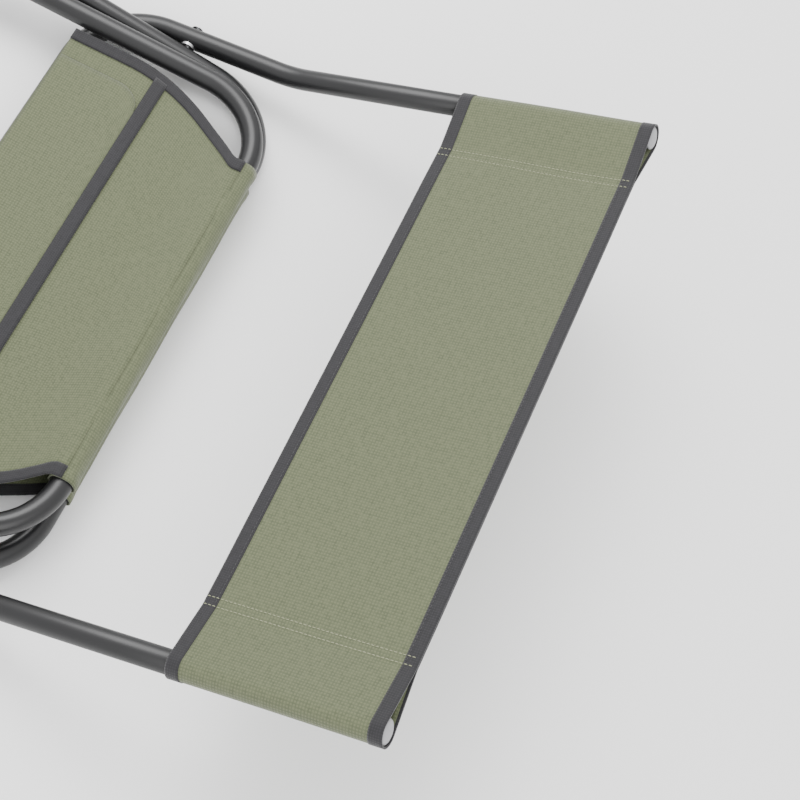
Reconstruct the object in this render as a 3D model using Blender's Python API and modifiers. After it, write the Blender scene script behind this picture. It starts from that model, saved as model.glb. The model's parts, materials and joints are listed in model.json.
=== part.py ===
"""Folding camp chair, folded flat and lying on its back.

Three nested bent-tube frames: the back frame outside, the rear seat frame in
it, and the front seat frame inside that. The two seat frames cross at the main
pivots; the back frame turns on the rear seat frame at the back pivots, and its
cross bar bears under the rear frame's legs. A fabric band joins the posts and
a fabric seat joins the two seat bars, folded once between them.

Metres, +Z up. +X is across the chair, +Y runs from the feet to the top of the
back. The side layout is worked out with the main pivot at (0, 0) and the rear
seat frame along Y, then tipped onto the two points the folded chair rests on.
"""
import math

import bmesh
import bpy
from mathutils import Matrix, Vector

# Driving dimensions
TUBE_R = 0.009
TUBE_WALL = 0.0012
SIDE_GAP = 0.003
BACK_WIDTH = 0.520
BAR_REACH = 0.255
FOOT_REACH = 0.275
FOLDED_LIFT = 0.030
SEAT_LENGTH = 0.360
CORNER_R = 0.062
PIVOT_TO_BAR = 0.095
PIVOT_TO_CROSS = 0.083
PIVOT_TO_BEND = 0.093
POST_BEND = math.radians(18.0)
POST_BEND_R = 0.090
BEND_TO_BAND = 0.157
BAND_HEIGHT = 0.163
BAND_PAST_POST = 0.003
BINDING = 0.0105
SLEEVE_SEAM = 0.046
FABRIC = 0.0012
BAND_THICK = 0.0022
BINDING_PROUD = 0.0005
SEAT_MARGIN = 0.004
FLARE_RUN = 0.115
SEAT_STEPS = 14
POCKET_FROM_BAR = 0.100
POCKET_CORNER = 0.025
POCKET_INSET = 0.018
PIN_R = 0.003
HEAD_R = 0.0055
HEAD_T = 0.0022
SPACER_R = 0.0065
CAP_R = 0.0118
CAP_GRIP = 0.026
CAP_SOLE = 0.020
PLUG_DOME = 0.0035
PLUG_GRIP = 0.014

# Clearances between pieces that touch
FIT = 0.0003
STOP_GAP = 0.0005

# Facets
TUBE_BEVEL = 6
ARC_STEPS = 10
ROUND_SIDES = 24

# Derived layout
TUBE_PITCH = 2 * TUBE_R + SIDE_GAP
BACK_X = BACK_WIDTH / 2
REAR_X = BACK_X - TUBE_PITCH
FRONT_X = REAR_X - TUBE_PITCH
FOLDED_ANGLE = math.asin(FOLDED_LIFT / BAR_REACH)
PANEL = SEAT_LENGTH / 2
SLEEVE_R = TUBE_R + FIT + FABRIC
SLEEVE_HALF = FRONT_X - CORNER_R
BACK_PIVOT_Y = BAR_REACH - PIVOT_TO_BAR
CREASE_GAP = 0.0015


def stop_angle():
    """Angle at which the back frame's corners just clear the rear legs."""
    reach = 2 * TUBE_R + STOP_GAP
    worst = reach / PIVOT_TO_CROSS
    for step in range(1, 90):
        turn = math.radians(step)
        off = BACK_X - CORNER_R + CORNER_R * math.cos(turn) - REAR_X
        arm = PIVOT_TO_CROSS - CORNER_R + CORNER_R * math.sin(turn)
        if abs(off) < reach:
            worst = max(worst, math.sqrt(reach**2 - off**2) / arm)
    return math.asin(worst)


STOP_ANGLE = stop_angle()
CROSS_Y = BACK_PIVOT_Y - PIVOT_TO_CROSS * math.cos(STOP_ANGLE)
CROSS_Z = -PIVOT_TO_CROSS * math.sin(STOP_ANGLE)


def ground_tilt():
    """Tip that lays the rear bar's sleeve and the cross bar on the ground."""
    run = BAR_REACH - CROSS_Y
    drop = -CROSS_Z
    return math.atan2(drop, run) - math.asin((SLEEVE_R - TUBE_R) / math.hypot(run, drop))


GROUND_TILT = ground_tilt()
TIP = Matrix.Rotation(-GROUND_TILT, 3, "X")


def turned(y, z, angle):
    """A side-view point turned about the layout's origin."""
    return (
        y * math.cos(angle) - z * math.sin(angle),
        y * math.sin(angle) + z * math.cos(angle),
    )


def at(x, y, z):
    """A layout point, tipped to how the folded chair lies."""
    return TIP @ Vector((x, y, z))


def crease_point():
    """Where the folded seat's crease lies between the two seat bars."""
    by, bz = turned(BAR_REACH, 0, FOLDED_ANGLE)
    my, mz = (BAR_REACH + by) / 2, bz / 2
    half = math.hypot(BAR_REACH - by, bz) / 2
    run = math.sqrt(PANEL**2 - half**2)
    size = math.hypot(my, mz)
    return my - my / size * run, mz - mz / size * run


# Scene and collections
def clear_scene():
    for obj in list(bpy.data.objects):
        bpy.data.objects.remove(obj, do_unlink=True)
    for coll in list(bpy.data.collections):
        bpy.data.collections.remove(coll)


def new_collection(name):
    coll = bpy.data.collections.new(name)
    bpy.context.scene.collection.children.link(coll)
    return coll


def material(name, color, metallic, roughness):
    mat = bpy.data.materials.new(name)
    mat.use_nodes = True
    shader = mat.node_tree.nodes["Principled BSDF"]
    shader.inputs["Base Color"].default_value = (*color, 1.0)
    shader.inputs["Metallic"].default_value = metallic
    shader.inputs["Roughness"].default_value = roughness
    return mat


LOOKS = {
    "powder_coat": ((0.02, 0.02, 0.022), 0.2, 0.4),
    "olive_fabric": ((0.18, 0.19, 0.12), 0.0, 0.9),
    "black_binding": ((0.025, 0.024, 0.028), 0.0, 0.85),
    "bright_steel": ((0.65, 0.65, 0.66), 1.0, 0.3),
    "grey_plastic": ((0.33, 0.33, 0.34), 0.0, 0.5),
    "black_plastic": ((0.02, 0.02, 0.02), 0.0, 0.55),
}


def add_part(name, mesh, look, pivot=None):
    """One finished node, its origin on the axis it turns about."""
    bm = bmesh.new()
    bm.from_mesh(mesh)
    bmesh.ops.remove_doubles(bm, verts=bm.verts, dist=1e-6)
    bmesh.ops.recalc_face_normals(bm, faces=bm.faces)
    bm.to_mesh(mesh)
    bm.free()
    mesh.name = name
    mesh.materials.clear()
    mesh.materials.append(material(f"{name}.{look}", *LOOKS[look]))
    obj = bpy.data.objects.new(name, mesh)
    if pivot is not None:
        mesh.transform(Matrix.Translation(-pivot))
        obj.location = pivot
    PARTS.objects.link(obj)
    return obj


def bore(mesh, cutters):
    """A mesh with each cutter's solid taken out of it."""
    obj = bpy.data.objects.new("work", mesh)
    PARTS.objects.link(obj)
    for cutter in cutters:
        tool = bpy.data.objects.new("cutter", cutter)
        CUTTERS.objects.link(tool)
        tool.hide_render = True
        tool.display_type = "WIRE"
        cut = obj.modifiers.new("bore", "BOOLEAN")
        cut.operation = "DIFFERENCE"
        cut.solver = "EXACT"
        cut.object = tool
    result = evaluated(obj)
    bpy.data.objects.remove(obj, do_unlink=True)
    return result


def evaluated(obj):
    bpy.context.view_layer.update()
    graph = bpy.context.evaluated_depsgraph_get()
    return bpy.data.meshes.new_from_object(obj.evaluated_get(graph))


# Shapes
def tube(points):
    """A hollow round tube along a path, open at both ends."""
    curve = bpy.data.curves.new("path", "CURVE")
    curve.dimensions = "3D"
    curve.bevel_depth = TUBE_R
    curve.bevel_resolution = TUBE_BEVEL
    curve.use_fill_caps = False
    spline = curve.splines.new("POLY")
    spline.points.add(len(points) - 1)
    for knot, point in zip(spline.points, points):
        knot.co = (*point, 1.0)
    path = bpy.data.objects.new("path", curve)
    PARTS.objects.link(path)
    skin = evaluated(path)
    bpy.data.objects.remove(path, do_unlink=True)
    bm = bmesh.new()
    bm.from_mesh(skin)
    bmesh.ops.remove_doubles(bm, verts=bm.verts, dist=1e-6)
    bmesh.ops.recalc_face_normals(bm, faces=bm.faces)
    bm.to_mesh(skin)
    bm.free()
    shell = bpy.data.objects.new("shell", skin)
    PARTS.objects.link(shell)
    thicken = shell.modifiers.new("wall", "SOLIDIFY")
    thicken.thickness = TUBE_WALL
    thicken.offset = -1.0
    thicken.use_rim = True
    thicken.use_even_offset = True
    result = evaluated(shell)
    bpy.data.objects.remove(shell, do_unlink=True)
    return result


def lathe(profile, centre, axis):
    """A round solid: (distance along axis, radius) pairs about a centre."""
    bm = bmesh.new()
    axis = Vector(axis).normalized()
    side = axis.orthogonal().normalized()
    up = axis.cross(side)
    rings = []
    for along, radius in profile:
        ring = []
        for k in range(ROUND_SIDES):
            turn = 2 * math.pi * k / ROUND_SIDES
            arm = side * math.cos(turn) + up * math.sin(turn)
            ring.append(bm.verts.new(centre + axis * along + arm * radius))
        rings.append(ring)
    for low, high in zip(rings, rings[1:]):
        for k in range(ROUND_SIDES):
            nxt = (k + 1) % ROUND_SIDES
            bm.faces.new((low[k], low[nxt], high[nxt], high[k]))
    bm.faces.new(rings[0])
    bm.faces.new(rings[-1])
    bmesh.ops.recalc_face_normals(bm, faces=bm.faces)
    mesh = bpy.data.meshes.new("lathe")
    bm.to_mesh(mesh)
    bm.free()
    return mesh


def ring_solid(outer_r, inner_r, length, centre, axis):
    """A plain round sleeve, open through, starting at its centre."""
    bm = bmesh.new()
    axis = Vector(axis).normalized()
    side = axis.orthogonal().normalized()
    up = axis.cross(side)
    loops = []
    for along, radius in ((0, outer_r), (length, outer_r), (length, inner_r), (0, inner_r)):
        ring = []
        for k in range(ROUND_SIDES):
            turn = 2 * math.pi * k / ROUND_SIDES
            arm = side * math.cos(turn) + up * math.sin(turn)
            ring.append(bm.verts.new(centre + axis * along + arm * radius))
        loops.append(ring)
    for i, low in enumerate(loops):
        high = loops[(i + 1) % len(loops)]
        for k in range(ROUND_SIDES):
            nxt = (k + 1) % ROUND_SIDES
            bm.faces.new((low[k], low[nxt], high[nxt], high[k]))
    bmesh.ops.recalc_face_normals(bm, faces=bm.faces)
    mesh = bpy.data.meshes.new("ring")
    bm.to_mesh(mesh)
    bm.free()
    return mesh


def prism(outline, place, depth):
    """A flat outline carried through a depth; place maps (u, v, w) to space."""
    bm = bmesh.new()
    low = [bm.verts.new(place(u, v, 0.0)) for u, v in outline]
    high = [bm.verts.new(place(u, v, depth)) for u, v in outline]
    bm.faces.new(low)
    bm.faces.new(high)
    for k in range(len(outline)):
        nxt = (k + 1) % len(outline)
        bm.faces.new((low[k], low[nxt], high[nxt], high[k]))
    bmesh.ops.recalc_face_normals(bm, faces=bm.faces)
    mesh = bpy.data.meshes.new("prism")
    bm.to_mesh(mesh)
    bm.free()
    return mesh


def corner(cx, cy, radius, start, end):
    """Points of one rounded corner, from start to end angle in degrees."""
    points = []
    for k in range(ARC_STEPS + 1):
        turn = math.radians(start + (end - start) * k / ARC_STEPS)
        points.append((cx + radius * math.cos(turn), cy + radius * math.sin(turn)))
    return points


# Frames
def u_path(half, bar):
    """A U in the frame's own plane: up one leg, across the bar, down the other."""
    inner = half - CORNER_R
    path = [(-half, -FOOT_REACH)]
    path += corner(-inner, bar - CORNER_R, CORNER_R, 180, 90)
    path += corner(inner, bar - CORNER_R, CORNER_R, 90, 0)
    path += [(half, -FOOT_REACH)]
    return path


BEND_TANGENT = POST_BEND_R * math.tan(POST_BEND / 2)
BEND_START = PIVOT_TO_BEND - BEND_TANGENT
BEND_ARC = POST_BEND_R * POST_BEND
BAND_START = BEND_START + BEND_ARC + BEND_TO_BAND - BEND_TANGENT
BAND_END = BAND_START + BAND_HEIGHT
POST_END = BAND_END - BAND_PAST_POST


def back_side(along, off=0.0):
    """Layout (y, z) of a point along the back frame, off toward its front."""
    if along <= BEND_START:
        y, z = along, off
    else:
        turn = min(along - BEND_START, BEND_ARC) / POST_BEND_R
        rest = max(along - BEND_START - BEND_ARC, 0.0)
        y = BEND_START + POST_BEND_R * math.sin(turn)
        z = POST_BEND_R * (1 - math.cos(turn))
        y += rest * math.cos(turn) - off * math.sin(turn)
        z += rest * math.sin(turn) + off * math.cos(turn)
    y, z = turned(y, z, STOP_ANGLE)
    return BACK_PIVOT_Y + y, z


def back_path():
    """The back frame's path: down one post, round the cross bar, up the other."""
    bend = [BEND_START + BEND_ARC * k / ARC_STEPS for k in range(ARC_STEPS + 1)]
    right = [(BACK_X, POST_END)] + [(BACK_X, along) for along in reversed(bend)]
    inner = BACK_X - CORNER_R
    low = CORNER_R - PIVOT_TO_CROSS
    right += corner(inner, low, CORNER_R, 0, -90)
    left = [(-x, along) for x, along in reversed(right)]
    return [at(x, *back_side(along)) for x, along in right + left]


def pin_hole(x, y, z):
    """Cutter for a pin through one tube, across the chair."""
    reach = TUBE_R + SIDE_GAP / 2
    profile = [(-reach, PIN_R + FIT), (reach, PIN_R + FIT)]
    return lathe(profile, at(x, y, z), (1, 0, 0))


def build_frames():
    open_axis = at(0, 0, 0)
    back_axis = at(0, BACK_PIVOT_Y, 0)
    rear = tube([at(x, y, 0) for x, y in u_path(REAR_X, BAR_REACH)])
    holes = [pin_hole(s * REAR_X, y, 0) for s in (-1, 1) for y in (0, BACK_PIVOT_Y)]
    add_part("rear_seat_frame", bore(rear, holes), "powder_coat")
    lean = [(x, *turned(y, 0, FOLDED_ANGLE)) for x, y in u_path(FRONT_X, BAR_REACH)]
    front = tube([at(*point) for point in lean])
    holes = [pin_hole(s * FRONT_X, 0, 0) for s in (-1, 1)]
    add_part("front_seat_frame", bore(front, holes), "powder_coat", open_axis)
    holes = [pin_hole(s * BACK_X, BACK_PIVOT_Y, 0) for s in (-1, 1)]
    add_part("back_frame", bore(tube(back_path()), holes), "powder_coat", back_axis)


def rivet(inner_x, outer_x, y, side):
    """A domed two-headed rivet from inside one tube to outside the next."""
    low = inner_x - TUBE_R - FIT
    high = outer_x + TUBE_R + FIT
    crown = HEAD_R * 0.6
    profile = [(low - HEAD_T, crown), (low - HEAD_T / 2, HEAD_R), (low, HEAD_R)]
    profile += [(low, PIN_R), (high, PIN_R)]
    profile += [(high, HEAD_R), (high + HEAD_T / 2, HEAD_R), (high + HEAD_T, crown)]
    return lathe(profile, at(0, y, 0), (side, 0, 0))


def build_pivots():
    bore_r = PIN_R + FIT
    thick = SIDE_GAP - 2 * FIT
    for tag, side in (("left", -1), ("right", 1)):
        for kind, inner_x, outer_x, y in (
            ("main", FRONT_X, REAR_X, 0.0),
            ("back", REAR_X, BACK_X, BACK_PIVOT_Y),
        ):
            mesh = rivet(inner_x, outer_x, y, side)
            add_part(f"{kind}_rivet_{tag}", mesh, "bright_steel")
            start = at(side * (inner_x + TUBE_R + FIT), y, 0)
            mesh = ring_solid(SPACER_R, bore_r, thick, start, (side, 0, 0))
            add_part(f"{kind}_spacer_{tag}", mesh, "bright_steel")


def build_caps():
    """Foot caps, each cut to stand flat when the chair is open."""
    stand = math.acos(PANEL / BAR_REACH)
    for kind, half, lean, cut in (
        ("rear", REAR_X, 0.0, stand),
        ("front", FRONT_X, FOLDED_ANGLE, -stand),
    ):
        dy, dz = turned(-1, 0, lean)
        axis = at(0, dy, dz)
        ny, nz = turned(-1, 0, lean + math.copysign(math.pi / 2, cut) - cut)
        sole = at(0, ny, nz)
        pivot = at(0, 0, 0) if kind == "front" else None
        for tag, side in (("left", -1), ("right", 1)):
            end = at(side * half, *turned(-FOOT_REACH, 0, lean))
            long = CAP_SOLE + CAP_R / math.tan(stand)
            profile = [(-CAP_GRIP, CAP_R * 0.93), (-CAP_GRIP + 0.0015, CAP_R), (long, CAP_R)]
            solid = lathe(profile, end, axis)
            hole = [(-CAP_GRIP - FIT, TUBE_R + FIT), (FIT, TUBE_R + FIT)]
            solid = bore(solid, [lathe(hole, end, axis)])
            bm = bmesh.new()
            bm.from_mesh(solid)
            bmesh.ops.remove_doubles(bm, verts=bm.verts, dist=1e-6)
            geom = bm.verts[:] + bm.edges[:] + bm.faces[:]
            point = end + axis * CAP_SOLE
            cutting = bmesh.ops.bisect_plane(
                bm, geom=geom, plane_co=point, plane_no=sole, clear_outer=True
            )
            rim = [g for g in cutting["geom_cut"] if isinstance(g, bmesh.types.BMEdge)]
            bmesh.ops.contextual_create(bm, geom=rim)
            bm.to_mesh(solid)
            bm.free()
            add_part(f"{kind}_foot_cap_{tag}", solid, "black_plastic", pivot)


# Back band
SEAM_INSET = 0.004


def band_ring(thick):
    """Outer section of the band as one closed outline."""
    reach = TUBE_R + FIT + thick
    half = BAND_THICK / 2 + (thick - FABRIC)
    lean = math.asin((reach - half) / SLEEVE_SEAM)
    start = 90 + math.degrees(lean)
    seam = BACK_X - SLEEVE_SEAM
    right = [(seam, half)] + corner(BACK_X, 0, reach, start, -start) + [(seam, -half)]
    left = [(-x, z) for x, z in reversed(right)]
    return right + left


def post_hole(side):
    """Inner outline of one sleeve, drawn to a point at its seam."""
    reach = TUBE_R + FIT
    seam = BACK_X - SLEEVE_SEAM + SEAM_INSET
    lean = math.asin(reach / (BACK_X - seam))
    start = 90 + math.degrees(lean)
    hole = [(seam, 0.0)] + corner(BACK_X, 0, reach / math.cos(math.pi / 20), start, -start)
    return [(side * x, z) for x, z in hole]


def band_piece(low, high, thick):
    def place(start):
        def put(u, v, w):
            return at(u, *back_side(start + w, v))

        return put

    solid = prism(band_ring(thick), place(low), high - low)
    spare = BAND_PAST_POST
    cutters = [
        prism(post_hole(side), place(low - spare), high - low + 2 * spare)
        for side in (-1, 1)
    ]
    return bore(solid, cutters)


def build_band():
    axis = at(0, BACK_PIVOT_Y, 0)
    low, high = BAND_START, BAND_END
    edge = FABRIC + BINDING_PROUD
    mesh = band_piece(low, low + BINDING, edge)
    add_part("band_lower_binding", mesh, "black_binding", axis)
    mesh = band_piece(low + BINDING + FIT, high - BINDING - FIT, FABRIC)
    add_part("back_band", mesh, "olive_fabric", axis)
    mesh = band_piece(high - BINDING, high, edge)
    add_part("band_upper_binding", mesh, "black_binding", axis)
    inner = TUBE_R - TUBE_WALL - FIT
    for tag, side in (("left", -1), ("right", 1)):
        top = at(side * BACK_X, *back_side(POST_END))
        below = at(side * BACK_X, *back_side(POST_END - PLUG_GRIP))
        head = [(-PLUG_GRIP, inner * 0.96), (FIT, inner), (FIT, TUBE_R * 0.98)]
        head += [(PLUG_DOME * 0.6, TUBE_R * 0.9), (PLUG_DOME, TUBE_R * 0.55)]
        mesh = lathe(head, top, top - below)
        add_part(f"post_plug_{tag}", mesh, "grey_plastic", axis)


# Seat
def seat_half(along, inset):
    """Half width of the seat at a distance from its bar, less an inset."""
    start = SLEEVE_R + FIT
    left = max(0.0, 1 - (along - start) / FLARE_RUN)
    flare = CORNER_R - TUBE_R - SEAT_MARGIN
    return SLEEVE_HALF + flare * (1 - left * left) - inset


def panel_outline(inset, end):
    """Seat panel outline: x across, y away from the bar; inset from its sides."""
    start = SLEEVE_R + FIT
    stops = [start + FLARE_RUN * k / SEAT_STEPS for k in range(SEAT_STEPS + 1)] + [end]
    right = [(seat_half(y, inset), y) for y in stops]
    return right, [(-x, y) for x, y in reversed(right)]


def panel_place(bar, crease, outward, base):
    """Places (x, along, height) on one seat panel's own plane."""
    dy, dz = crease[0] - bar[0], crease[1] - bar[1]
    size = math.hypot(dy, dz)
    dy, dz = dy / size, dz / size
    ny, nz = (-dz * outward, dy * outward)

    def put(x, along, height):
        up = base + height
        return at(x, bar[0] + dy * along + ny * up, bar[1] + dz * along + nz * up)

    return put


def pocket_outline(start, end):
    wide = SLEEVE_HALF + CORNER_R - TUBE_R - SEAT_MARGIN - BINDING - POCKET_INSET
    inner = wide - POCKET_CORNER
    right = corner(inner, start + POCKET_CORNER, POCKET_CORNER, -90, 0) + [(wide, end)]
    return right + [(-x, y) for x, y in reversed(right)]


def build_seat():
    crease = crease_point()
    crease_axis = at(0, *crease)
    rear_bar = (BAR_REACH, 0.0)
    front_bar = turned(BAR_REACH, 0, FOLDED_ANGLE)
    rear_axis = at(0, *rear_bar)
    end = PANEL - CREASE_GAP
    for kind, bar, outward, pivot, sleeve_pivot in (
        ("rear", rear_bar, 1, rear_axis, None),
        ("front", front_bar, -1, crease_axis, at(0, 0, 0)),
    ):
        start = at(-SLEEVE_HALF, *bar)
        mesh = ring_solid(SLEEVE_R, TUBE_R + FIT, 2 * SLEEVE_HALF, start, (1, 0, 0))
        add_part(f"{kind}_sleeve", mesh, "olive_fabric", sleeve_pivot)
        put = panel_place(bar, crease, outward, FIT / 2)
        inner_right, inner_left = panel_outline(BINDING + FIT, end)
        outer_right, outer_left = panel_outline(0.0, end)
        edge_right, edge_left = panel_outline(BINDING, end)
        mesh = prism(inner_right + inner_left, put, FABRIC)
        add_part(f"seat_{kind}_panel", mesh, "olive_fabric", pivot)
        strip = outer_right + edge_right[::-1]
        mesh = prism(strip, put, FABRIC + BINDING_PROUD)
        add_part(f"seat_{kind}_binding_right", mesh, "black_binding", pivot)
        strip = outer_left + edge_left[::-1]
        mesh = prism(strip, put, FABRIC + BINDING_PROUD)
        add_part(f"seat_{kind}_binding_left", mesh, "black_binding", pivot)
    top = panel_place(front_bar, crease, -1, FIT / 2 + FABRIC + FIT)
    near = POCKET_FROM_BAR
    outline = pocket_outline(near, end - CREASE_GAP)
    add_part("seat_pocket", prism(outline, top, FABRIC), "olive_fabric", crease_axis)
    low, high = near - BINDING, near - FIT
    wide = seat_half(low, BINDING)
    strip = [(-wide, low), (wide, low), (wide, high), (-wide, high)]
    mesh = prism(strip, top, FABRIC + BINDING_PROUD)
    add_part("pocket_binding", mesh, "black_binding", crease_axis)


def settle():
    """Centres the chair on the origin, resting on the ground."""
    bpy.context.view_layer.update()
    spots = [o.matrix_world @ v.co for o in PARTS.objects for v in o.data.vertices]
    low_y = min(p.y for p in spots)
    high_y = max(p.y for p in spots)
    shift = Vector((0.0, -(low_y + high_y) / 2, -min(p.z for p in spots)))
    for obj in PARTS.objects:
        obj.location += shift


clear_scene()
PARTS = new_collection("folding_camp_chair")
CUTTERS = new_collection("cutters")
build_frames()
build_pivots()
build_caps()
build_band()
build_seat()
settle()
for tool in list(CUTTERS.objects):
    bpy.data.objects.remove(tool, do_unlink=True)
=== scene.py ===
"""Folding camp chair: finished frames, fabric, binding and stitching.

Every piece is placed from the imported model: its node boxes and its joints give
the bars, posts and pivots, and the few sizes named below are the chair's own.
"""

import json
import math

import bmesh
import bpy
from mathutils import Euler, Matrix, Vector


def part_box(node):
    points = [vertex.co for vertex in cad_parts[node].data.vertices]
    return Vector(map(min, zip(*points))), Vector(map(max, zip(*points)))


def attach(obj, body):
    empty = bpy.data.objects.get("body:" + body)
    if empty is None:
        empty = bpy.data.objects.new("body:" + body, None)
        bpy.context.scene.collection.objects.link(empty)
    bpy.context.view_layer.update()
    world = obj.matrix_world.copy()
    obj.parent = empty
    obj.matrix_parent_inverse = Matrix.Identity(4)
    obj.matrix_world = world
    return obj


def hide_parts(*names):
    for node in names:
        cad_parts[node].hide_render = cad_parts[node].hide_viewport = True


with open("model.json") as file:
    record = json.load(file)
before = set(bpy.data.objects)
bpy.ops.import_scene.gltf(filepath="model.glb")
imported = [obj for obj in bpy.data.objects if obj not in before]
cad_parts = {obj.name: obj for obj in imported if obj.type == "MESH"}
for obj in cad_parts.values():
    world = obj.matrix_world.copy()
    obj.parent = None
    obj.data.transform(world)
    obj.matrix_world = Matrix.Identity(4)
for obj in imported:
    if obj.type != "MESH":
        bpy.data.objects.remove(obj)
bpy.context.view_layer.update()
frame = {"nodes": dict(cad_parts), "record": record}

# Sizes the maker's drawing gives, in metres
TUBE_R = 0.009
CORNER_R = 0.062
TUBE_WALL = 0.0012
STOP_GAP = 0.0005
PIN_R = 0.003
HEAD_R = 0.0055
HEAD_EDGE = 0.0004
HEAD_HIGH = 0.0018
SIDE_GAP = 0.003
FOOT_REACH = 0.275
BAR_REACH = 0.255
FOLDED_LIFT = 0.030
PIVOT_TO_CROSS = 0.083
PIVOT_TO_BEND = 0.093
POST_BEND = math.radians(18.0)
POST_BEND_R = 0.090
BEND_TO_BAND = 0.157
BAND_HEIGHT = 0.163
BAND_PAST_POST = 0.003
BINDING = 0.0105
SLEEVE_SEAM = 0.046
CLOTH = 0.0012
LEAF = 0.0010
TAPE_FOLD = 0.0014
SEAT_TAPE_FOLD = 0.0018
TAPE_PROUD = 0.0005
PANEL = 0.180
SEAT_MARGIN = 0.004
FLARE_RUN = 0.115
TOP_EASE = 0.045
POCKET_FROM_BAR = 0.100
STITCH_ROWS = 0.0064
STITCH_LONG = 0.0026
STITCH_PITCH = 0.0034
STITCH_R = 0.00038
FIT = 0.0003

# Layout from the joints
JOINTS = {j["name"]: j for j in frame["record"]["behaviour"]["joints"]}
MAIN = Vector(JOINTS["open"]["pos_m"])
BACK = Vector(JOINTS["back_fold"]["pos_m"])
REAR_BAR = Vector(JOINTS["seat_rear_hinge"]["pos_m"])
CREASE = Vector(JOINTS["seat_crease"]["pos_m"])
BACK_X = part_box("back_frame")[1][0] - TUBE_R
REAR_X = BACK_X - 2 * TUBE_R - SIDE_GAP
FRONT_X = REAR_X - 2 * TUBE_R - SIDE_GAP
SLEEVE_HALF = FRONT_X - CORNER_R
TILT = math.atan2((REAR_BAR - MAIN).z, (REAR_BAR - MAIN).y)
FOLDED_ANGLE = math.asin(FOLDED_LIFT / BAR_REACH)


def polar(reach, angle):
    """A side-view step of that reach and angle."""
    return Vector((0.0, reach * math.cos(angle), reach * math.sin(angle)))


FRONT_BAR = MAIN + polar(BAR_REACH, TILT + FOLDED_ANGLE)


def stop_angle():
    """The back frame's lean from the rear seat frame."""
    reach = 2 * TUBE_R + STOP_GAP
    worst = reach / PIVOT_TO_CROSS
    for step in range(1, 90):
        turn = math.radians(step)
        off = BACK_X - CORNER_R + CORNER_R * math.cos(turn) - REAR_X
        arm = PIVOT_TO_CROSS - CORNER_R + CORNER_R * math.sin(turn)
        if abs(off) < reach:
            worst = max(worst, math.sqrt(reach**2 - off**2) / arm)
    return math.asin(worst)


LEAN = TILT + stop_angle()
BEND_TANGENT = POST_BEND_R * math.tan(POST_BEND / 2)
BEND_START = PIVOT_TO_BEND - BEND_TANGENT
BEND_ARC = POST_BEND_R * POST_BEND
BAND_START = BEND_START + BEND_ARC + BEND_TO_BAND - BEND_TANGENT
BAND_END = BAND_START + BAND_HEIGHT
POST_END = BAND_END - BAND_PAST_POST


def on_back(x, along, off=0.0):
    """A point on the back frame: across, along the post, off to its front."""
    if along <= BEND_START:
        turn, y, z = 0.0, along, off
    else:
        turn = min(along - BEND_START, BEND_ARC) / POST_BEND_R
        rest = max(along - BEND_START - BEND_ARC, 0.0)
        y = BEND_START + POST_BEND_R * math.sin(turn)
        z = POST_BEND_R * (1 - math.cos(turn))
        y += rest * math.cos(turn) - off * math.sin(turn)
        z += rest * math.sin(turn) + off * math.cos(turn)
    cy = y * math.cos(LEAN) - z * math.sin(LEAN)
    cz = y * math.sin(LEAN) + z * math.cos(LEAN)
    return Vector((x, BACK.y + cy, BACK.z + cz))


# Materials
def new_look(name):
    """A material with its shader and object coordinates ready."""
    look = bpy.data.materials.new(name)
    look.use_nodes = True
    nodes = look.node_tree.nodes
    coords = nodes.new("ShaderNodeTexCoord")
    return look, nodes, look.node_tree.links, nodes["Principled BSDF"], coords


def powder_coat():
    """Satin black powder coat: fine orange peel, slightly uneven gloss."""
    look, nodes, links, shader, coords = new_look("powder_coat")
    peel = nodes.new("ShaderNodeTexNoise")
    peel.inputs["Scale"].default_value = 900
    peel.inputs["Detail"].default_value = 3
    links.new(coords.outputs["Object"], peel.inputs["Vector"])
    bump = nodes.new("ShaderNodeBump")
    bump.inputs["Strength"].default_value = 0.12
    bump.inputs["Distance"].default_value = 0.0002
    links.new(peel.outputs["Fac"], bump.inputs["Height"])
    links.new(bump.outputs["Normal"], shader.inputs["Normal"])
    patches = nodes.new("ShaderNodeTexNoise")
    patches.inputs["Scale"].default_value = 14
    links.new(coords.outputs["Object"], patches.inputs["Vector"])
    tint = nodes.new("ShaderNodeValToRGB")
    tint.color_ramp.elements[0].color = (0.006, 0.006, 0.0065, 1)
    tint.color_ramp.elements[1].color = (0.010, 0.010, 0.011, 1)
    links.new(patches.outputs["Fac"], tint.inputs["Fac"])
    links.new(tint.outputs["Color"], shader.inputs["Base Color"])
    gloss = nodes.new("ShaderNodeMapRange")
    gloss.inputs["To Min"].default_value = 0.3
    gloss.inputs["To Max"].default_value = 0.44
    links.new(patches.outputs["Fac"], gloss.inputs["Value"])
    links.new(gloss.outputs["Result"], shader.inputs["Roughness"])
    return look


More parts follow.
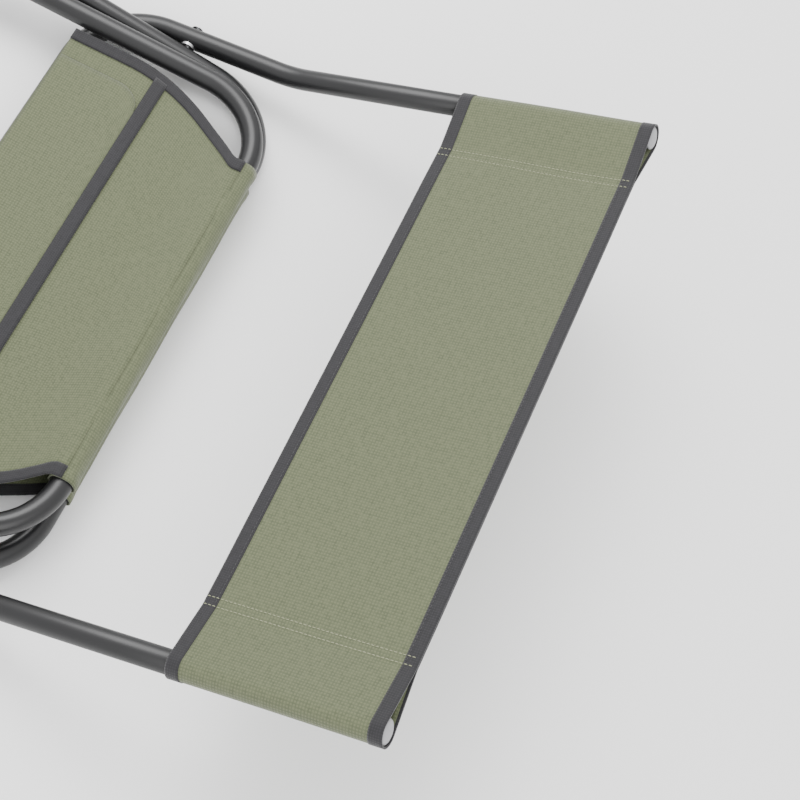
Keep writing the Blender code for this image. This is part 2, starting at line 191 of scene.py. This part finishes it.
def woven(name, dark, light, threads, depth, roughness):
    """Plain weave: two crossed sets of threads on the piece's own UV."""
    look, nodes, links, shader, coords = new_look(name)
    waves = []
    for direction in ("X", "Y"):
        wave = nodes.new("ShaderNodeTexWave")
        wave.bands_direction = direction
        wave.inputs["Scale"].default_value = threads
        wave.inputs["Distortion"].default_value = 0.6
        wave.inputs["Detail"].default_value = 1
        links.new(coords.outputs["UV"], wave.inputs["Vector"])
        waves.append(wave)
    weave = nodes.new("ShaderNodeMath")
    weave.operation = "MULTIPLY"
    links.new(waves[0].outputs["Fac"], weave.inputs[0])
    links.new(waves[1].outputs["Fac"], weave.inputs[1])
    mottle = nodes.new("ShaderNodeTexNoise")
    mottle.inputs["Scale"].default_value = 320
    mottle.inputs["Detail"].default_value = 4
    links.new(coords.outputs["Object"], mottle.inputs["Vector"])
    mixed = nodes.new("ShaderNodeMath")
    mixed.operation = "ADD"
    links.new(weave.outputs[0], mixed.inputs[0])
    links.new(mottle.outputs["Fac"], mixed.inputs[1])
    tint = nodes.new("ShaderNodeValToRGB")
    tint.color_ramp.elements[0].position = 0.3
    tint.color_ramp.elements[1].position = 1.0
    tint.color_ramp.elements[0].color = (*dark, 1)
    tint.color_ramp.elements[1].color = (*light, 1)
    links.new(mixed.outputs[0], tint.inputs["Fac"])
    links.new(tint.outputs["Color"], shader.inputs["Base Color"])
    bump = nodes.new("ShaderNodeBump")
    bump.inputs["Strength"].default_value = 0.5
    bump.inputs["Distance"].default_value = depth
    links.new(mixed.outputs[0], bump.inputs["Height"])
    links.new(bump.outputs["Normal"], shader.inputs["Normal"])
    shader.inputs["Roughness"].default_value = roughness
    shader.inputs["Sheen Weight"].default_value = 0.15
    return look


def plain(name, dark, light, scale, roughness, metallic=0.0):
    """Moulded or plated finish: faint mottling in tone and a fine bump."""
    look, nodes, links, shader, coords = new_look(name)
    grain = nodes.new("ShaderNodeTexNoise")
    grain.inputs["Scale"].default_value = scale
    grain.inputs["Detail"].default_value = 4
    links.new(coords.outputs["Object"], grain.inputs["Vector"])
    tint = nodes.new("ShaderNodeValToRGB")
    tint.color_ramp.elements[0].color = (*dark, 1)
    tint.color_ramp.elements[1].color = (*light, 1)
    links.new(grain.outputs["Fac"], tint.inputs["Fac"])
    links.new(tint.outputs["Color"], shader.inputs["Base Color"])
    bump = nodes.new("ShaderNodeBump")
    bump.inputs["Strength"].default_value = 0.2
    bump.inputs["Distance"].default_value = 0.0001
    links.new(grain.outputs["Fac"], bump.inputs["Height"])
    links.new(bump.outputs["Normal"], shader.inputs["Normal"])
    shader.inputs["Roughness"].default_value = roughness
    shader.inputs["Metallic"].default_value = metallic
    return look


COAT = powder_coat()
OLIVE = woven("olive_fabric", (0.062, 0.074, 0.036), (0.112, 0.126, 0.066), 135, 0.0004, 0.86)
TAPE = woven("black_binding", (0.004, 0.004, 0.005), (0.014, 0.013, 0.016), 170, 0.0003, 0.8)
THREAD = plain("khaki_thread", (0.2, 0.21, 0.13), (0.32, 0.33, 0.22), 2500, 0.8)
BLACK_THREAD = plain("black_thread", (0.02, 0.02, 0.022), (0.06, 0.058, 0.062), 2500, 0.7)
STEEL = plain("bright_steel", (0.5, 0.5, 0.51), (0.7, 0.7, 0.71), 700, 0.28, 1.0)
GREY = plain("grey_plastic", (0.26, 0.26, 0.27), (0.36, 0.36, 0.37), 500, 0.5)
BLACK = plain("black_plastic", (0.014, 0.014, 0.015), (0.028, 0.028, 0.03), 600, 0.5)


# Making
def finish_piece(name, bm, look, body, nodes=(), smooth=True):
    """Turns a built mesh into a piece riding on its body."""
    bmesh.ops.recalc_face_normals(bm, faces=bm.faces)
    mesh = bpy.data.meshes.new(name)
    bm.to_mesh(mesh)
    bm.free()
    for face in mesh.polygons:
        face.use_smooth = smooth
    mesh.materials.append(look)
    obj = bpy.data.objects.new(name, mesh)
    bpy.context.scene.collection.objects.link(obj)
    if nodes:
        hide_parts(*nodes)
    if body:
        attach(obj, body)
    return obj


def grid(bm, rows, closed=False):
    """Skins rows of points; each row may close on itself. UVs are in metres."""
    uv = bm.loops.layers.uv.verify()
    spots = [[bm.verts.new(p) for p in row] for row in rows]
    count = len(rows[0])
    along = 0.0
    for low, high, a, b in zip(spots, spots[1:], rows, rows[1:]):
        step = (b[0] - a[0]).length
        across = 0.0
        for k in range(count if closed else count - 1):
            n = (k + 1) % count
            wide = (a[n] - a[k]).length
            face = bm.faces.new((low[k], low[n], high[n], high[k]))
            corners = ((across, along), (across + wide, along))
            corners += ((across + wide, along + step), (across, along + step))
            for loop, (u, v) in zip(face.loops, corners):
                loop[uv].uv = (u, v)
            across += wide
        along += step
    return spots


def thicken(obj, amount, offset=-1.0):
    """Gives a skin its thickness and bakes it in."""
    solid = obj.modifiers.new("thickness", "SOLIDIFY")
    solid.thickness = amount
    solid.offset = offset
    solid.use_even_offset = True
    bpy.context.view_layer.objects.active = obj
    bpy.ops.object.select_all(action="DESELECT")
    obj.select_set(True)
    bpy.ops.object.modifier_apply(modifier=solid.name)


def arc(cx, cy, radius, start, end, steps):
    """Points along one arc, angles in degrees."""
    turns = [math.radians(start + (end - start) * k / steps) for k in range(steps + 1)]
    return [(cx + radius * math.cos(t), cy + radius * math.sin(t)) for t in turns]


# Tubes
TUBE_SIDES = 40
BEND_STEPS = 28


def make_tube(name, path, body, nodes):
    """A smooth bent tube along its centre line, its bore open at both ends."""
    bm = bmesh.new()
    rows = []
    side = None
    for k, point in enumerate(path):
        ahead = path[min(k + 1, len(path) - 1)] - path[max(k - 1, 0)]
        ahead.normalize()
        if side is None:
            side = ahead.orthogonal().normalized()
        side = (side - ahead * side.dot(ahead)).normalized()
        up = ahead.cross(side)
        row = []
        for s in range(TUBE_SIDES):
            turn = 2 * math.pi * s / TUBE_SIDES
            row.append(point + (side * math.cos(turn) + up * math.sin(turn)) * TUBE_R)
        rows.append(row)
    grid(bm, rows, closed=True)
    obj = finish_piece(name, bm, COAT, body, nodes)
    thicken(obj, TUBE_WALL)
    return obj


def u_frame(half, pivot_angle):
    """Centre line of a seat frame at its angle: leg, bar, leg."""
    inner = half - CORNER_R
    flat = [(-half, -FOOT_REACH), (-half, 0.0)]
    flat += arc(-inner, BAR_REACH - CORNER_R, CORNER_R, 180, 90, BEND_STEPS)
    flat += arc(inner, BAR_REACH - CORNER_R, CORNER_R, 90, 0, BEND_STEPS)
    flat += [(half, 0.0), (half, -FOOT_REACH)]
    return [MAIN + polar(y, TILT + pivot_angle) + Vector((x, 0, 0)) for x, y in flat]


def back_line():
    """Centre line of the back frame: post, cross bar, post."""
    bend = [BEND_START + BEND_ARC * k / 12 for k in range(13)]
    right = [(BACK_X, POST_END)] + [(BACK_X, along) for along in reversed(bend)]
    low = CORNER_R - PIVOT_TO_CROSS
    right += arc(BACK_X - CORNER_R, low, CORNER_R, 0, -90, BEND_STEPS)
    left = [(-x, along) for x, along in reversed(right)]
    return [on_back(x, along) for x, along in right + left]


make_tube("rear_seat_tube", u_frame(REAR_X, 0.0), "rear_frame", ["rear_seat_frame"])
make_tube("front_seat_tube", u_frame(FRONT_X, FOLDED_ANGLE), "front_frame", ["front_seat_frame"])
make_tube("back_tube", back_line(), "back_rest", ["back_frame"])


# Turned pieces: rivets, plugs
def turn_piece(name, profile, centre, axis, look, body, nodes):
    """A round piece from (distance along axis, radius) pairs."""
    bm = bmesh.new()
    axis = axis.normalized()
    side = axis.orthogonal().normalized()
    up = axis.cross(side)
    rows = []
    for along, radius in profile:
        row = []
        for s in range(TUBE_SIDES):
            turn = 2 * math.pi * s / TUBE_SIDES
            arm = side * math.cos(turn) + up * math.sin(turn)
            row.append(centre + axis * along + arm * radius)
        rows.append(row)
    spots = grid(bm, rows, closed=True)
    bm.faces.new(spots[0])
    bm.faces.new(spots[-1])
    obj = finish_piece(name, bm, look, body, nodes)
    bpy.context.view_layer.objects.active = obj
    bpy.ops.object.select_all(action="DESELECT")
    obj.select_set(True)
    bpy.ops.object.shade_smooth_by_angle(angle=math.radians(35))
    return obj


def dome(base, height, radius, steps=6):
    """A shallow domed end on a round piece."""
    turns = [math.pi / 2 * k / steps for k in range(steps)]
    return [(base + height * math.sin(t), radius * math.cos(t)) for t in turns]


for tag, side in (("left", -1), ("right", 1)):
    for kind, inner, outer, place in (
        ("main", FRONT_X, REAR_X, MAIN),
        ("back", REAR_X, BACK_X, BACK),
    ):
        low, high = inner - TUBE_R - FIT, outer + TUBE_R + FIT
        crown = dome(HEAD_EDGE, HEAD_HIGH, HEAD_R)
        shape = [(low - h, r) for h, r in reversed(crown)]
        shape += [(low, HEAD_R), (low, PIN_R), (high, PIN_R), (high, HEAD_R)]
        shape += [(high + h, r) for h, r in crown]
        turn_piece(
            f"{kind}_pivot_rivet_{tag}", shape, place, Vector((side, 0, 0)),
            STEEL, "rear_frame", [f"{kind}_rivet_{tag}"],
        )
    top = on_back(side * BACK_X, POST_END)
    axis = top - on_back(side * BACK_X, POST_END - 0.01)
    shape = [(-0.014, 0.0072), (0.0002, 0.0075), (0.0002, 0.0088), (0.0012, 0.009)]
    shape += dome(0.0012, 0.0026, 0.0089)
    turn_piece(
        f"post_end_plug_{tag}", shape, top, axis,
        GREY, "back_rest", [f"post_plug_{tag}"],
    )


# Back band
def band_section(grow):
    """Outline of the band across the chair, opened round each post."""
    reach = TUBE_R + FIT + grow
    half = CLOTH * 0.95 + (grow - CLOTH)
    lean = math.asin((reach - half) / SLEEVE_SEAM)
    start = 90 + math.degrees(lean)
    seam = BACK_X - SLEEVE_SEAM
    first = arc(BACK_X, 0, reach, start, -start, 26)
    top_run = [(-seam + 2 * seam * k / 60, half) for k in range(61)]
    rise = [
        (seam + (first[0][0] - seam) * k / 8, half + (first[0][1] - half) * k / 8)
        for k in range(1, 8)
    ]
    right = rise + first + [(x, -z) for x, z in reversed(rise)]
    left = [(-x, -z) for x, z in right]
    bottom = [(-x, -z) for x, z in top_run]
    return top_run + right + bottom + left


def slack(x, along):
    """How far the cloth stands off its taut plane: soft pulls by the sleeves."""
    middle = math.cos(math.pi * x / (2 * BACK_X)) ** 2
    down = (along - BAND_START) / BAND_HEIGHT
    pull = math.sin(7.0 * down + 31.0 * x) * math.exp(-((abs(x) - 0.2) / 0.035) ** 2)
    ripple = math.sin(23.0 * x + 4.0 * down) * math.sin(math.pi * down)
    return -0.0026 * middle * math.sin(math.pi * down) + 0.0005 * pull + 0.0004 * ripple


def band_part(name, start, end, grow, steps, look, nodes, shell):
    """One length of the band, skinned along the posts and given its cloth."""
    bm = bmesh.new()
    rows = []
    for k in range(steps + 1):
        along = start + (end - start) * k / steps
        row = []
        for x, z in band_section(grow):
            row.append(on_back(x, along, z + slack(x, along)))
        rows.append(row)
    grid(bm, rows, closed=True)
    obj = finish_piece(name, bm, look, "back_rest", nodes)
    thicken(obj, shell)
    return obj


band = band_part(
    "back_band_cloth", BAND_START + 0.002, BAND_END - 0.002, CLOTH, 40,
    OLIVE, ["back_band"], LEAF,
)
lower_tape = band_part(
    "band_tape_lower", BAND_START, BAND_START + BINDING, CLOTH + TAPE_PROUD, 6,
    TAPE, ["band_lower_binding"], TAPE_FOLD,
)
upper_tape = band_part(
    "band_tape_upper", BAND_END - BINDING, BAND_END, CLOTH + TAPE_PROUD, 6,
    TAPE, ["band_upper_binding"], TAPE_FOLD,
)


# Stitching
def add_stitch(bm, middle, along, up):
    """One thread stitch: a short bowed bead lying on the cloth."""
    side = along.cross(up).normalized()
    rows = []
    for k in range(5):
        t = k / 4
        bow = math.sin(math.pi * t)
        thick = STITCH_R * (0.35 + 0.65 * bow)
        centre = middle + along * (t - 0.5) * STITCH_LONG + up * STITCH_R * (0.9 * bow - 0.3)
        row = []
        for s in range(6):
            turn = 2 * math.pi * s / 6
            row.append(centre + (side * math.cos(turn) + up * math.sin(turn)) * thick)
        rows.append(row)
    spots = grid(bm, rows, closed=True)
    bm.faces.new(spots[0])
    bm.faces.new(spots[-1])


def stitch_row(bm, point, length):
    """Stitches along a line; point(distance) gives (place, way off the cloth)."""
    for k in range(int(length / STITCH_PITCH)):
        here = (k + 0.5) * STITCH_PITCH
        place, up = point(here)
        ahead = (point(here + 0.001)[0] - point(here - 0.001)[0]).normalized()
        add_stitch(bm, place, ahead, up)


def band_spot(x, along, face):
    """A place on one face of the band, and the way off its cloth."""
    on_tape = along < BAND_START + BINDING or along > BAND_END - BINDING
    high = (CLOTH * 0.95 + (TAPE_PROUD if on_tape else 0.0)) * face
    spot = on_back(x, along, high + slack(x, along))
    up = (on_back(x, along, 0.01) - on_back(x, along, 0.0)).normalized() * face
    return spot, up


bm = bmesh.new()
for side in (-1, 1):
    for row in (0, 1):
        x = side * (BACK_X - SLEEVE_SEAM - 0.001 - row * STITCH_ROWS)
        for face in (-1, 1):
            stitch_row(
                bm, lambda d, x=x, face=face: band_spot(x, BAND_START + d, face), BAND_HEIGHT
            )
sleeve_stitches = finish_piece("sleeve_stitches", bm, THREAD, "back_rest")
bm = bmesh.new()
seam_span = 2 * (BACK_X - SLEEVE_SEAM)
for along in (BAND_START + BINDING - 0.0018, BAND_END - BINDING + 0.0018):
    for face in (-1, 1):
        stitch_row(
            bm, lambda d, a=along, face=face: band_spot(d - seam_span / 2, a, face), seam_span
        )
tape_stitches = finish_piece("band_tape_stitches", bm, BLACK_THREAD, "back_rest")


# Seat
def seat_half(along):
    """Half width of the seat at a distance from its bar."""
    left = min(1.0, max(0.0, 1 - (along - SLEEVE_R) / FLARE_RUN))
    return SLEEVE_HALF + (CORNER_R - TUBE_R - SEAT_MARGIN) * (1 - left * left)


SLEEVE_R = TUBE_R + FIT + CLOTH
SEAT_START = 0.0006


def seat_place(bar, outward):
    """Maps (x, along, height) onto one seat panel."""
    run = (CREASE - bar).normalized()
    up = Vector((0, -run.z, run.y)) * outward

    def put(x, along, height):
        soft = 0.0007 * math.sin(19 * x + 40 * along) * math.sin(math.pi * along / PANEL)
        ease = max(0.0, 1 - along / TOP_EASE)
        soft += (SLEEVE_R - CLOTH) * ease * ease * (3 - 2 * ease)
        return bar + run * along + up * (FIT / 2 + height + soft) + Vector((x, 0, 0))

    return put


def cloth_rows(put, start, end, low_edge, high_edge, steps, across, height):
    """Rows of points over a panel between two side edges."""
    rows = []
    for k in range(steps + 1):
        along = start + (end - start) * k / steps
        low, high = low_edge(along), high_edge(along)
        rows.append([
            put(low + (high - low) * s / across, along, height) for s in range(across + 1)
        ])
    return rows


for kind, bar, outward, body, sleeve_body in (
    ("rear", REAR_BAR, 1, "seat_rear", "rear_frame"),
    ("front", FRONT_BAR, -1, "seat_front", "front_frame"),
):
    put = seat_place(bar, outward)
    end = PANEL - 0.0015
    bm = bmesh.new()
    rows = cloth_rows(
        put, SEAT_START, end,
        lambda a: -seat_half(a) + 0.002, lambda a: seat_half(a) - 0.002, 44, 60, CLOTH,
    )
    grid(bm, rows)
    panel = finish_piece(
        f"seat_{kind}_cloth", bm, OLIVE, body, [f"seat_{kind}_panel"]
    )
    thicken(panel, LEAF)
    for tag, side in (("left", -1), ("right", 1)):
        bm = bmesh.new()
        rows = cloth_rows(
            put, SEAT_START, end,
            lambda a, s=side: s * (seat_half(a) - BINDING), lambda a, s=side: s * seat_half(a),
            44, 4, CLOTH + 0.0006,
        )
        grid(bm, rows)
        tape = finish_piece(
            f"seat_{kind}_tape_{tag}", bm, TAPE, body,
            [f"seat_{kind}_binding_{tag}"],
        )
        thicken(tape, SEAT_TAPE_FOLD, 0.0)
    bm = bmesh.new()
    rows = []
    for k in range(61):
        x = -SLEEVE_HALF + 2 * SLEEVE_HALF * k / 60
        lip = 0.0006 if min(k, 60 - k) < 2 else 0.0
        row = []
        for s in range(TUBE_SIDES):
            turn = 2 * math.pi * s / TUBE_SIDES
            fold = 0.00025 * math.sin(5 * turn + 60 * x) + lip
            row.append(bar + polar(SLEEVE_R + fold, turn) + Vector((x, 0, 0)))
        rows.append(row)
    grid(bm, rows, closed=True)
    sleeve = finish_piece(
        f"{kind}_bar_sleeve", bm, OLIVE, sleeve_body, [f"{kind}_sleeve"]
    )
    thicken(sleeve, LEAF)

# Pocket on the face of the front panel
put = seat_place(FRONT_BAR, -1)
POCKET_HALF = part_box("seat_pocket")[1][0]
POCKET_CORNER = 0.025


def pocket_half(along):
    """Half width of the pocket, its two near corners rounded."""
    into = along - POCKET_FROM_BAR
    if into >= POCKET_CORNER:
        return POCKET_HALF
    drop = POCKET_CORNER - into
    return POCKET_HALF - POCKET_CORNER + math.sqrt(max(POCKET_CORNER**2 - drop**2, 0.0))


bm = bmesh.new()
rows = cloth_rows(
    put, POCKET_FROM_BAR, PANEL - 0.003,
    lambda a: -pocket_half(a), pocket_half, 24, 60, 2 * CLOTH + FIT,
)
grid(bm, rows)
pocket = finish_piece("seat_pocket_cloth", bm, OLIVE, "seat_front", ["seat_pocket"])
thicken(pocket, LEAF)
bm = bmesh.new()
rows = cloth_rows(
    put, POCKET_FROM_BAR - BINDING, POCKET_FROM_BAR + 0.001,
    lambda a: -seat_half(a) + BINDING * 0.6, lambda a: seat_half(a) - BINDING * 0.6,
    4, 60, 2 * CLOTH + FIT + 0.0004,
)
grid(bm, rows)
pocket_tape = finish_piece(
    "pocket_tape", bm, TAPE, "seat_front", ["pocket_binding"]
)
thicken(pocket_tape, TAPE_FOLD)

# Finishes on the pieces kept as they are
for name, node in frame["nodes"].items():
    if "cap" in name or "spacer" in name:
        node.data.materials.clear()
        node.data.materials.append(STEEL if "spacer" in name else BLACK)


# Studio
def studio():
    """Pale floor, white world and soft lights."""
    bpy.ops.object.select_all(action="DESELECT")
    bpy.ops.mesh.primitive_plane_add(size=12, location=(0, 0, -0.001))
    floor = bpy.context.object
    floor.name = "floor"
    paint = plain("floor_paint", (0.93, 0.93, 0.93), (0.96, 0.96, 0.96), 3, 0.9)
    floor.data.materials.append(paint)
    world = bpy.context.scene.world or bpy.data.worlds.new("room")
    bpy.context.scene.world = world
    world.use_nodes = True
    world.node_tree.nodes["Background"].inputs["Color"].default_value = (1, 1, 1, 1)
    world.node_tree.nodes["Background"].inputs["Strength"].default_value = 1.5
    for name, spot, size, power in (
        ("key", (-0.9, -0.6, 1.8), 1.4, 52),
        ("fill", (1.6, 1.0, 1.6), 1.8, 26),
    ):
        data = bpy.data.lights.new(name, "AREA")
        data.size = size
        data.energy = power
        lamp = bpy.data.objects.new(name, data)
        lamp.location = spot
        lamp.rotation_euler = (-Vector(spot)).to_track_quat("-Z", "Y").to_euler()
        bpy.context.scene.collection.objects.link(lamp)


CAMERA_PLACE = Vector((0.614, 0.304, 1.287))
CAMERA_TURN = Euler((0.42532, -0.22621, 1.98345))
CAMERA_LENS = 80.6
studio()
camera = bpy.data.objects.new("camera", bpy.data.cameras.new("camera"))
camera.location = CAMERA_PLACE
camera.rotation_euler = CAMERA_TURN
camera.data.lens = CAMERA_LENS
camera.data.sensor_width = 36
camera.data.clip_start = 0.05
bpy.context.scene.collection.objects.link(camera)
bpy.context.scene.camera = camera
